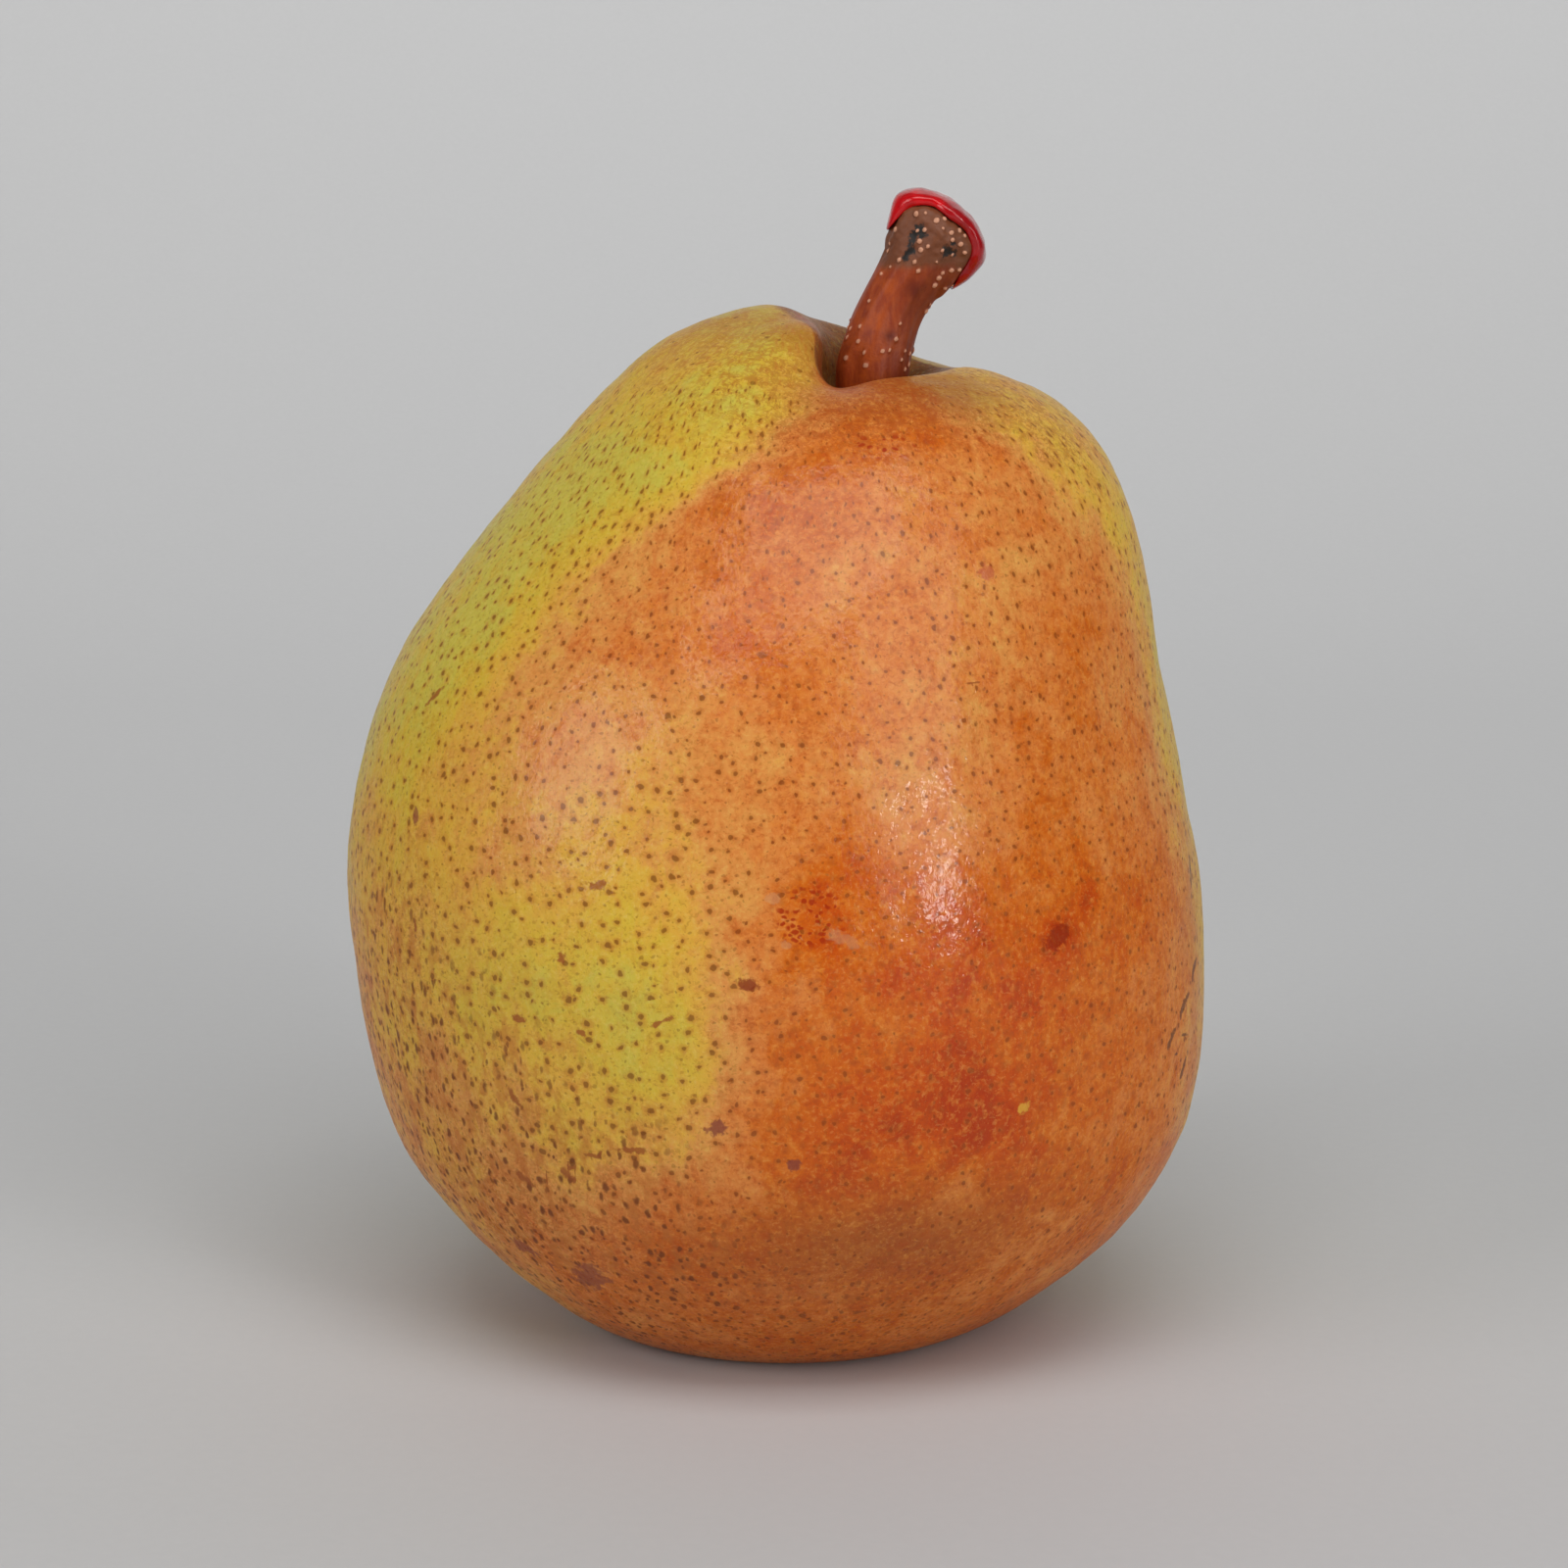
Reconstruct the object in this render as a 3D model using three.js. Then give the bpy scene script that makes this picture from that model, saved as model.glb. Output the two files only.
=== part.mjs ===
// A ripe dessert pear, standing upright on its own base: the fruit, its woody stem, the cap of
// sealing wax over the stem's cut end, and the dried flower in the basin underneath, which is five
// sepals round a tuft of stamens.
//
// Millimetres, +Z up. The origin is on the surface that the pear stands on, under the middle of its
// bounding box. -Y is the front, +X is the side that the stem leans towards. Azimuths are in degrees,
// counted anticlockwise from +X as seen from above, so 180 is the left side and 270 the front.
import * as THREE from "three";

const { degToRad, lerp, smoothstep } = THREE.MathUtils;
const vector = (x, y, z) => new THREE.Vector3(x, y, z);

// ---- The fruit ----
// Under its widest level the fruit is round, about an upright axis a little right of the origin:
// [radius, height] from the middle of the basin underneath, out over the ring that it rests on.
const baseAxis = 1.1;
const baseOutline = [
  [0, 7],
  [3.6, 6.4],
  [9, 3.2],
  [14.5, 0],
  [18.5, -0.1],
  [25, 3.4],
  [32.8, 10.8],
  [38.4, 21.5],
];

// Above that level it has four half-outlines, which run up over the crown and down the wall of the
// stem's cavity: [distance from the origin's upright, height]. The left one climbs over a lobe that
// stands higher than the rest of the crown and overhangs the cavity.
const crownOutlines = {
  right: [
    [40, 38], [38, 50], [35.6, 61], [33.9, 71], [30.9, 80], [25.4, 86], [18, 88.9], [15.2, 88.2],
    [13.9, 86.4], [13.3, 84.6],
  ],
  back: [
    [40, 38], [38.2, 50], [34.4, 62], [29, 72.5], [22.4, 81.5], [15.8, 88], [9.6, 90.4], [7, 89.6],
    [5.2, 87.6], [4.5, 84.8],
  ],
  left: [
    [-40, 39], [-39.2, 50], [-35.3, 62], [-28.4, 72], [-20, 82.2], [-11.3, 90.6], [-2.2, 94.5],
    [2.4, 93.3], [4.3, 90.6], [4.7, 86],
  ],
  front: [
    [-40, 38], [-38.4, 50], [-35, 62], [-30, 72], [-24, 81], [-17.8, 87], [-11.5, 89.2], [-8, 88.4],
    [-5.6, 86.6], [-4.6, 84.7],
  ],
};

// Local form: around a place of the skin, within about so many mm, the skin is shifted by so much.
const pushes = [
  { form: "lobe's brow over the cavity", at: [2, -3, 93], reach: 4.5, shift: [1.1, 0, -0.2] },
  { form: "lobe's front end", at: [2.2, -8, 91.2], reach: 4, shift: [1.1, -0.4, 1.6] },
  { form: "lobe's front slope", at: [-5, -15, 86.5], reach: 8, shift: [-0.2, -0.7, 0.7] },
  { form: "hollow at the foot of the lobe", at: [6.6, -7.4, 88], reach: 3.2, shift: [-2, -0.6, -1.1] },
  { form: "notch between lobe and front rim", at: [5.6, -8.4, 88.9], reach: 2.8, shift: [-1, 0.4, -1.3] },
  { form: "cavity's wall under the lobe", at: [5.2, -3, 88.6], reach: 4, shift: [-1.2, 0, 0] },
  { form: "furrow's top", at: [5.6, -12, 88.4], reach: 2.4, shift: [-0.3, 0.5, -1] },
  { form: "furrow's foot", at: [1.8, -17, 85.6], reach: 4, shift: [0, 0.6, -0.8] },
  { form: "back left of the crown", at: [4.5, 9.5, 90.2], reach: 6, shift: [0, 0, 1.6] },
  { form: "back right of the crown", at: [14.5, 7.5, 89.6], reach: 6, shift: [0, 0, -1.3] },
  { form: "right shoulder's crest", at: [17.5, -3, 88.8], reach: 6, shift: [0, 0, 0.3] },
  { form: "left shoulder's crest", at: [-9, -3, 91.5], reach: 5, shift: [-0.2, 0, 0.45] },
  { form: "foot of the left flank", at: [-27, -10, 7], reach: 8, shift: [0.7, 0, 0.3] },
  { form: "foot of the right flank", at: [33, -6, 10], reach: 7, shift: [0.5, 0, -0.2] },
];

const fruitRings = 58;
const fruitSides = 88;
const skinShare = 0.93; // share of the rings that make the skin; the rest line the stem's socket
const socketWallShare = 0.74; // share of the socket's rings that make its wall
const socketMouth = 0.2; // how far along the stem the socket's mouth is

// ---- The stem ----
// The middle of the stem from its foot to its swollen end, and its radius at each of those points.
const stemPath = [
  [8.5, 0, 79.8],
  [8.7, 0, 85],
  [9.05, 0, 90],
  [10.4, 0, 94],
  [11.9, 0, 96.6],
  [13.4, 0, 99.1],
  [14.6, 0, 101],
];
const stemRadii = [3.2, 3.2, 3.2, 2.95, 3, 3.5, 3.75];
const cutDirection = [0.61, 0, 0.79]; // the way that the oblique cut end faces
const cutBulge = 1.9; // how far the cut end is domed
const stemFootShare = 0.08; // share of the stem's rings that close its foot
const stemRings = 30;
const stemSides = 36;

// ---- The wax ----
// Places on the stem's surface are counted from 0 at its foot to 1 at the rim of the cut end and on
// to 2 in the middle of the cut end.
const waxThickness = 1;
const waxEdgeThickness = 0.2;
const waxEdge = { left: 0.79, right: 0.72, front: 1.5 }; // the front was wiped clean down to the wood
const waxTaper = 0.35; // share of the way from the edge over which the wax reaches its thickness
const wipedFront = [0.25, 0.85]; // the wiped front begins and is complete where it faces -Y so much
const waxRings = 26;

// ---- The dried flower ----
// One sepal's middle line, as [distance from the flower's axis, height]: it is rooted near the floor
// of the basin, spreads along its wall and curls back at the tip.
const sepalPath = [
  [2.3, 5.7],
  [3.6, 4.9],
  [5.2, 3.6],
  [6.6, 2.2],
  [6.4, 1.3],
];
const sepalWidth = 3.4;
const sepalThickness = 0.7;
const sepalCupping = 0.16; // how far its sides curl in, per mm off its middle line, squared
const sepalCount = 5;
const sepalRings = 12;
const sepalSides = 10;
const sepalTurn = 18; // degrees that the ring of sepals is turned
const stamenTuft = { radius: 1.5, top: 6.1, bottom: 2.6, ribDepth: 0.14 };
const stamenCount = 7;

const fit = 0.35; // gap between two pieces that touch

const colours = { skin: 0xc98a3e, stem: 0x8a4a24, wax: 0xb00a18, flower: 0x4a3524 };

// A bell that is 1 at zero distance and fades over `width`.
function bell(distance, width) {
  return Math.exp(-((distance / width) ** 2));
}

// A closed surface of rings between two poles. place(ring, side) gives a point: ring runs from 0 to 1
// between the poles and side from 0 to 1 once round, anticlockwise about the way from pole to pole.
function closedLoft(rings, sides, place) {
  const positions = [];
  const triangles = [];
  const add = (p) => positions.push(p.x, p.y, p.z);
  add(place(0, 0));
  for (let i = 1; i < rings; i++) {
    for (let j = 0; j < sides; j++) add(place(i / rings, j / sides));
  }
  add(place(1, 0));
  const vertex = (i, j) => 1 + (i - 1) * sides + (j % sides);
  const lastPole = 1 + (rings - 1) * sides;
  for (let j = 0; j < sides; j++) {
    triangles.push(0, vertex(1, j + 1), vertex(1, j));
    for (let i = 1; i < rings - 1; i++) {
      triangles.push(vertex(i, j), vertex(i, j + 1), vertex(i + 1, j + 1));
      triangles.push(vertex(i, j), vertex(i + 1, j + 1), vertex(i + 1, j));
    }
    triangles.push(vertex(rings - 1, j), vertex(rings - 1, j + 1), lastPole);
  }
  const geometry = new THREE.BufferGeometry();
  geometry.setAttribute("position", new THREE.Float32BufferAttribute(positions, 3));
  geometry.setIndex(triangles);
  geometry.computeVertexNormals();
  return geometry;
}

function piece(name, geometry, colour, roughness) {
  const material = new THREE.MeshStandardMaterial({ color: colour, roughness, metalness: 0 });
  const mesh = new THREE.Mesh(geometry, material);
  mesh.name = name;
  return mesh;
}

// ---- Stem geometry ----
const stemAxis = new THREE.CatmullRomCurve3(stemPath.map((p) => vector(...p)));
const stemRadiusCurve = new THREE.SplineCurve(stemRadii.map((r, i) => new THREE.Vector2(i, r)));
const cutNormal = vector(...cutDirection).normalize();

// A point of the stem's side: along runs from 0 at the foot to 1 at the cut end, whose section is
// turned to face the way of the cut.
function stemSide(along, azimuth, grow = 0) {
  const centre = stemAxis.getPoint(along);
  const facing = stemAxis.getTangent(along).lerp(cutNormal, smoothstep(along, 0.55, 1)).normalize();
  const across = vector(0, 1, 0).cross(facing).normalize();
  const inward = facing.clone().cross(across);
  const radius = stemRadiusCurve.getPoint(along).y + grow;
  return centre
    .addScaledVector(across, radius * Math.cos(degToRad(azimuth)))
    .addScaledVector(inward, radius * Math.sin(degToRad(azimuth)));
}

// The same, carried on over the rounded rim and across the cut face to its middle: from 1 to 2.
function stemSurface(along, azimuth, grow = 0) {
  if (along <= 1) return stemSide(along, azimuth, grow);
  const rim = stemSide(1, azimuth, grow);
  const across = along - 1;
  const middle = stemAxis.getPoint(1);
  const arc = (across * Math.PI) / 2;
  return middle.lerp(rim, Math.cos(arc)).addScaledVector(cutNormal, (cutBulge + grow) * Math.sin(arc));
}

function stemPoint(ring, side) {
  const azimuth = side * 360;
  if (ring < stemFootShare) return stemAxis.getPoint(0).lerp(stemSide(0, azimuth), ring / stemFootShare);
  return stemSurface((2 * (ring - stemFootShare)) / (1 - stemFootShare), azimuth);
}

// The wax runs along its inner face from the middle of the cut end to its edge, and back over its
// outer face, which is thin and round at the edge.
function waxPoint(ring, side) {
  const azimuth = side * 360;
  const wiped = smoothstep(-Math.sin(degToRad(azimuth)), ...wipedFront);
  const leftness = (1 - Math.cos(degToRad(azimuth))) / 2;
  const edge = lerp(lerp(waxEdge.right, waxEdge.left, leftness), waxEdge.front, wiped);
  const inside = ring < 0.5;
  const fromEdge = Math.abs(ring - 0.5) * 2;
  const swelling = Math.sqrt(1 - (1 - Math.min(fromEdge / waxTaper, 1)) ** 2);
  const grow = inside ? fit : fit + lerp(waxEdgeThickness, waxThickness, swelling);
  return stemSurface(lerp(edge, 2, fromEdge), azimuth, grow);
}

function makeWax() {
  return piece("stem_wax", closedLoft(waxRings, stemSides, waxPoint), colours.wax, 0.2);
}

function makeStem() {
  return piece("stem", closedLoft(stemRings, stemSides, stemPoint), colours.stem, 0.6);
}

// ---- Fruit geometry ----
function halfOutline(name) {
  const outwards = name === "left" || name === "front" ? -1 : 1;
  const axis = name === "left" || name === "right" ? baseAxis : 0;
  const base = baseOutline.map(([r, h]) => new THREE.Vector2(axis + outwards * r, h));
  const crown = crownOutlines[name].map(([d, h]) => new THREE.Vector2(d, h));
  return new THREE.SplineCurve([...base, ...crown]);
}
const outlines = {};
for (const name of Object.keys(crownOutlines)) outlines[name] = halfOutline(name);

// The form without its pushes: each level is a half-ellipse behind and another in front.
function plainForm(along, azimuth) {
  const cos = Math.cos(degToRad(azimuth));
  const sin = Math.sin(degToRad(azimuth));
  const right = outlines.right.getPoint(along);
  const left = outlines.left.getPoint(along);
  const ahead = (sin < 0 ? outlines.front : outlines.back).getPoint(along);
  const beside = cos < 0 ? left : right;
  return vector(
    (right.x + left.x) / 2 + ((right.x - left.x) / 2) * cos,
    Math.abs(ahead.x) * sin,
    beside.y * cos * cos + ahead.y * sin * sin,
  );
}

function skinPoint(along, azimuth) {
  const plain = plainForm(along, azimuth);
  const point = plain.clone();
  for (const { at, reach, shift } of pushes) {
    point.addScaledVector(vector(...shift), bell(plain.distanceTo(vector(...at)), reach));
  }
  point.z = Math.max(point.z, 0);
  return point;
}

// The last rings line the socket in the cavity's floor that holds the stem's foot: first its wall,
// which follows the stem down, and then its floor.
function fruitPoint(ring, side) {
  const azimuth = side * 360;
  if (ring <= skinShare) return skinPoint(ring / skinShare, azimuth);
  const down = (ring - skinShare) / (1 - skinShare);
  if (down < socketWallShare) return stemSide(socketMouth * (1 - down / socketWallShare), azimuth, fit);
  const corner = stemSide(0, azimuth, fit);
  const floor = stemAxis.getPoint(0);
  corner.z -= fit;
  floor.z -= fit;
  return corner.lerp(floor, (down - socketWallShare) / (1 - socketWallShare));
}

function makeFruit() {
  return piece("fruit", closedLoft(fruitRings, fruitSides, fruitPoint), colours.skin, 0.45);
}

// ---- Dried flower geometry ----
const sepalAxis = new THREE.CatmullRomCurve3(sepalPath.map(([d, h]) => vector(d, 0, h)));

// A thin pointed blade, widest a third of the way along, cupped towards the flower's axis.
function sepalPoint(ring, side) {
  const centre = sepalAxis.getPoint(ring);
  const forward = sepalAxis.getTangent(ring);
  const across = vector(0, 1, 0);
  const out = forward.clone().cross(across);
  const taper = Math.sqrt(Math.sin(Math.PI * ring ** 0.6));
  const halfWidth = (sepalWidth / 2) * taper;
  const halfThickness = (sepalThickness / 2) * taper ** 0.5;
  const turned = side * 2 * Math.PI;
  const offAxis = halfWidth * Math.cos(turned);
  const cup = sepalCupping * offAxis ** 2;
  return centre
    .addScaledVector(across, offAxis)
    .addScaledVector(out, halfThickness * Math.sin(turned) - cup);
}

function makeSepal(number) {
  const mesh = piece(`sepal_${number}`, closedLoft(sepalRings, sepalSides, sepalPoint), colours.flower, 0.8);
  mesh.position.set(baseAxis, 0, 0);
  mesh.rotation.z = degToRad((360 / sepalCount) * number + sepalTurn);
  return mesh;
}

// The dried stamens, withered together into one ribbed tuft that hangs from the basin's floor.
function stamenPoint(ring, side) {
  const { radius, top, bottom, ribDepth } = stamenTuft;
  const around = side * 2 * Math.PI;
  const rib = 1 + ribDepth * Math.cos(stamenCount * around);
  const roundEnds = Math.sqrt(Math.abs(Math.sin(Math.PI * ring)));
  const reach = radius * rib * roundEnds * lerp(0.75, 1, ring);
  return vector(reach * Math.cos(around), reach * Math.sin(around), lerp(bottom, top, ring));
}

function makeStamens() {
  const mesh = piece("dried_stamens", closedLoft(10, stamenCount * 4, stamenPoint), colours.flower, 0.8);
  mesh.position.set(baseAxis, 0, 0);
  return mesh;
}

// ---- The pear ----
const pear = new THREE.Group();
pear.add(makeFruit(), makeStem(), makeWax(), makeStamens());
for (let number = 1; number <= sepalCount; number++) pear.add(makeSepal(number));

// The origin goes under the middle of the whole pear's bounding box.
const bounds = new THREE.Box3().setFromObject(pear);
const middle = bounds.getCenter(vector(0, 0, 0));
pear.position.set(-middle.x, -middle.y, -bounds.min.z);

export default pear;
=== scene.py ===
"""A ripe dessert pear that stands on its base: the looks of every surface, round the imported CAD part.

The row frame is in metres, +Z up, and -Y is the pear's front. Places on the pear are given in
millimetres in that frame. Azimuths are in degrees from +X, anticlockwise seen from above, so 180 is
the left side and 270 the front.
"""

import math

import bmesh
import bpy
import numpy as np
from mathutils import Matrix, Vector
from mathutils.bvhtree import BVHTree


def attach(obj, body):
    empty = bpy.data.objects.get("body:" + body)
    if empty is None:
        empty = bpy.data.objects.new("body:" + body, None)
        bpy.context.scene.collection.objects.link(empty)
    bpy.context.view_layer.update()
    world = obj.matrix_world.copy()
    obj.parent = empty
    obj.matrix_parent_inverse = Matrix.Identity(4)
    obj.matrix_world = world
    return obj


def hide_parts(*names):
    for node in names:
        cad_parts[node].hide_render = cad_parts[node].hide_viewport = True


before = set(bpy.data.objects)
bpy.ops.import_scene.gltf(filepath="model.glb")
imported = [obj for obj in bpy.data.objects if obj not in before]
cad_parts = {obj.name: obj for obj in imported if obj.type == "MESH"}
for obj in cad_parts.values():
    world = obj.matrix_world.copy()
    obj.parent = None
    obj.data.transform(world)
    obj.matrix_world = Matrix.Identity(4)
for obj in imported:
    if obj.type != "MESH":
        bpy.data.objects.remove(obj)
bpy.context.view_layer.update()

MM = 0.001
AXIS_X = 1.0  # the fruit's upright axis crosses the X axis here, in mm
STEM_FOOT = (9.2, 0.3)  # where the stem leaves the cavity: x and y in mm


def rgb(red, green, blue):
    """A colour given in the 0 to 255 numbers of a screen, as the linear one that nodes use."""

    def linear(c):
        c /= 255
        return c / 12.92 if c <= 0.04045 else ((c + 0.055) / 1.055) ** 2.4

    return (linear(red), linear(green), linear(blue), 1.0)


# ---------------------------------------------------------------- meshes
WELD = 0.002 * MM  # vertices nearer than this are one
PAIR_BEND = 1.2  # two triangles are paired if they bend less than this, in radians
PAIR_SKEW = 3.1  # and if their corners are less than this off square: nearly any pair


def smooth_copy(node, name, levels):
    """A copy of a CAD node's mesh with its triangles paired into quads and rounded by subdivision."""
    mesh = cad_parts[node].data.copy()
    mesh.materials.clear()
    bm = bmesh.new()
    bm.from_mesh(mesh)
    bmesh.ops.remove_doubles(bm, verts=bm.verts, dist=WELD)
    bmesh.ops.join_triangles(
        bm, faces=bm.faces, angle_face_threshold=PAIR_BEND, angle_shape_threshold=PAIR_SKEW
    )
    bm.to_mesh(mesh)
    bm.free()
    piece = bpy.data.objects.new(name, mesh)
    bpy.context.scene.collection.objects.link(piece)
    subdivision = piece.modifiers.new("subdivision", "SUBSURF")
    subdivision.levels = levels
    subdivision.render_levels = levels
    bpy.context.view_layer.update()
    fine = bpy.data.meshes.new_from_object(piece.evaluated_get(bpy.context.evaluated_depsgraph_get()))
    piece.modifiers.clear()
    piece.data = fine
    for polygon in fine.polygons:
        polygon.use_smooth = True
    return piece


def vectors_of(piece, kind):
    """One row for each vertex: its place in m, "co", or its "normal"."""
    flat = np.zeros(len(piece.data.vertices) * 3, np.float32)
    piece.data.vertices.foreach_get(kind, flat)
    return flat.reshape(-1, 3).astype(float)


def points_of(piece):
    """The piece's vertices in mm, one row each."""
    return vectors_of(piece, "co") / MM


def normals_of(piece):
    """The directions that the surface faces at the piece's vertices, one row each."""
    return vectors_of(piece, "normal")


def move_points(piece, points):
    """Puts the piece's vertices at these points, in mm."""
    piece.data.vertices.foreach_set("co", (points * MM).astype(np.float32).ravel())
    piece.data.update()


def seeker_of(mesh):
    """A search tree that finds where a ray hits the mesh, or its nearest point."""
    return BVHTree.FromPolygons([v.co for v in mesh.vertices], [p.vertices for p in mesh.polygons])


def store(piece, name, values):
    """Keeps one number from 0 to 1 per vertex for the piece's material."""
    attribute = piece.data.attributes.new(name, "FLOAT", "POINT")
    attribute.data.foreach_set("value", np.clip(values, 0, 1).astype(np.float32))


def bell(points, centre, wide, tall=None):
    """1 at the centre, fading over `wide` mm across and `tall` mm up."""
    offset = points - np.array(centre, float)
    across = (offset[:, 0] ** 2 + offset[:, 1] ** 2) / wide**2
    up = offset[:, 2] ** 2 / (tall or wide) ** 2
    return np.exp(-(across + up))


def ease(value, low, high):
    """A smooth step from 0, at low, to 1, at high."""
    t = np.clip((value - low) / (high - low), 0, 1)
    return t * t * (3 - 2 * t)


NOISE_WAVES = 9
NOISE_RANGE = 4  # the sum of the waves seldom goes past this


def soft_noise(points, size_mm, seed):
    """Soft noise from about -1 to 1 at each point, from sines that cross at uneven angles."""
    chance = np.random.default_rng(seed)
    total = np.zeros(len(points))
    for _ in range(NOISE_WAVES):
        heading = chance.normal(size=3)
        heading /= np.linalg.norm(heading)
        wave = points @ heading * (2 * math.pi / (size_mm * chance.uniform(0.7, 1.5)))
        total += np.sin(wave + chance.uniform(0, 2 * math.pi))
    return total / NOISE_RANGE


# ---------------------------------------------------------------- the skin's colour zones
# Warmth runs from 0, lime, by way of mustard, tan, peach and orange to 1, deep red-orange. Going
# round the pear from its left side, the skin turns from lime to tan across one line and from tan to
# orange across the next, and it turns yellow again across the last. Each line: height in mm, azimuth,
# and how many degrees to each side of it the change takes.
TAN_LINE = [
    (0, 150, 24), (30, 168, 26), (46, 190, 22), (57, 206, 20), (62, 213, 18), (66, 219, 17),
    (70, 225, 16), (74, 230, 15), (78, 238, 14), (82, 250, 14), (86, 262, 14), (91, 275, 20),
]
ORANGE_LINE = [
    (0, 215, 20), (15, 238, 16), (24, 256, 11), (30, 260, 9), (46, 264, 8), (55, 263, 13),
    (62, 257, 20), (68, 247, 20), (74, 243, 18), (78, 248, 16), (82, 260, 14), (86, 277, 14),
    (91, 292, 18),
]
YELLOW_LINE = [
    (0, 348, 20), (30, 349, 16), (46, 347, 14), (58, 341, 14), (66, 338, 14), (74, 334, 14),
    (80, 325, 14), (86, 318, 14), (91, 310, 14),
]
TAN_STEP, ORANGE_STEP, YELLOW_STEP = 0.5, 0.43, -0.6  # what crossing each line adds
COOLEST, WARMTH_RANGE = -0.1, 1.5  # what comes out as 0, and how much above it comes out as 1
FIRST_AZIMUTH = 60  # azimuths are counted on from here, at the back, where no line runs

# Patches: place, reach across and up in mm, and how much they add to the warmth's sum. A place on the
# front is x and height; anywhere else it is an azimuth and height.
WARMTH_PATCHES = [
    (("front", -13, 37), 13, 10, -0.36),
    (("front", -9, 31), 7, 8, -0.14),
    (("front", -24, 40), 8, 7, -0.20),
    (("front", -33, 52), 6, 15, -0.22),
    (("front", -27, 66), 5, 9, -0.16),
    (("front", -15, 82), 9, 7, -0.08),
    (("front", -17, 60), 11, 10, 0.12),
    (("front", -19, 69), 6, 5, 0.12),
    (("front", -10, 57), 8, 8, -0.04),
    (("front", -6, 64), 8, 8, -0.06),
    (("front", -8, 91), 9, 3, 0.2),
    (("front", -15, 86), 7, 3, 0.22),
    (("front", 13, 75), 12, 7, -0.08),
    (("front", 20, 73), 5, 6, -0.14),
    (("front", 13, 60), 8, 8, -0.17),
    (("front", 11, 75), 10, 6, -0.10),
    (("front", 24, 58), 6, 7, -0.06),
    (("front", 4, 46), 6, 6, 0.10),
    (("front", 14, 40), 10, 9, 0.12),
    (("front", 26, 44), 6, 8, 0.08),
    (("front", 18, 28), 9, 5, 0.16),
    (("front", 22, 35), 12, 7, 0.06),
    (("front", 33, 38), 5, 8, 0.10),
    (("front", 2, 72), 9, 9, 0.05),
    (("front", 6, 26), 12, 7, 0.10),
    (("front", 27, 34), 4, 6, -0.15),
    (("front", 8.5, 88.8), 6, 2, -0.08),
    (("front", 8, 17), 14, 5, 0.06),
    (("front", 24.1, 43.4), 2.6, 2.3, 0.42),
    (("front", -13, 88), 10, 5, 0.10),
    (("front", 9, 84.4), 5.5, 1.8, 0.14),
    (("front", -1, 79), 3, 2, 0.14),
    (("front", 27, 45.6), 2, 1.8, 0.22),
    (("front", 17, 34), 14, 12, 0.14),
    (("front", 8, 20), 18, 9, 0.04),
    (("front", -25, 20), 10, 9, 0.14),
    (("front", -2, 33), 4, 10, 0.08),
    (("front", -6, 80), 6, 5, 0.10),
    (("side", 345, 40), 9, 18, -0.12),
    (("side", 20, 45), 30, 30, -0.24),
]

# Patches of brown and of painted shade: place, reach across and up in mm, and strength. The patches
# under a height of 20 mm on the front are painted shade under the belly. The two at the cavity's front
# rim are painted shade where the skin turns into the hollow, over browner skin. The rest are browner
# skin.
BROWN_AND_SHADE_PATCHES = [
    (("front", -17, 12), 11, 6, 0.05),
    (("front", -12, 92.5), 9, 2, 0.3),
    (("front", -27, 19), 8, 8, 0.15),
    (("front", -31, 31), 6, 9, 0.2),
    # painted shade over browner skin, at the cavity's front rim
    (("front", 8, 88), 10, 3.6, 0.65),
    (("front", 16, 88), 6, 3, 0.7),
    (("front", -2, 93.5), 9, 2.2, 0.55),
    (("front", -9, 91), 7, 3, 0.35),
    (("front", 3, 92), 2.5, 3.5, 0.6),
    # painted shade low on the front, under the belly
    (("front", 9, 18), 20, 8, 0.4),
    (("front", 10, 17.5), 14, 5, 0.45),
    (("front", -1, 80), 7, 4, 0.25),
    (("front", 1, 68), 8, 6, 0.12),
    (("side", 342, 44), 9, 28, 0.4),
    (("side", 60, 60), 22, 22, 0.25),
    (("side", 120, 25), 24, 16, 0.35),
]

# Patches where the skin is finely netted with russet: place, reach across and up in mm, strength.
RUSSET_PATCHES = [
    (("front", -11, 92), 9, 3, 0.6),
    (("front", 9, 87), 14, 5, 0.5),
    (("front", 25, 84), 8, 6, 0.4),
    (("front", 0, 78), 8, 4, 0.3),
    (("front", -24, 18), 14, 9, 0.45),
    (("front", -33, 40), 6, 16, 0.3),
    (("front", 10, 14), 24, 8, 0.3),
    (("side", 60, 80), 18, 10, 0.4),
    (("side", 100, 20), 24, 12, 0.4),
]

# Clusters of dark red freckles: place, reach across and up in mm, and strength.
FRECKLE_PATCHES = [
    (("front", 2.8, 46.8), 2.6, 2.2, 1.0),
    (("front", 9.2, 84.2), 4.4, 1.5, 0.45),
]

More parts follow.
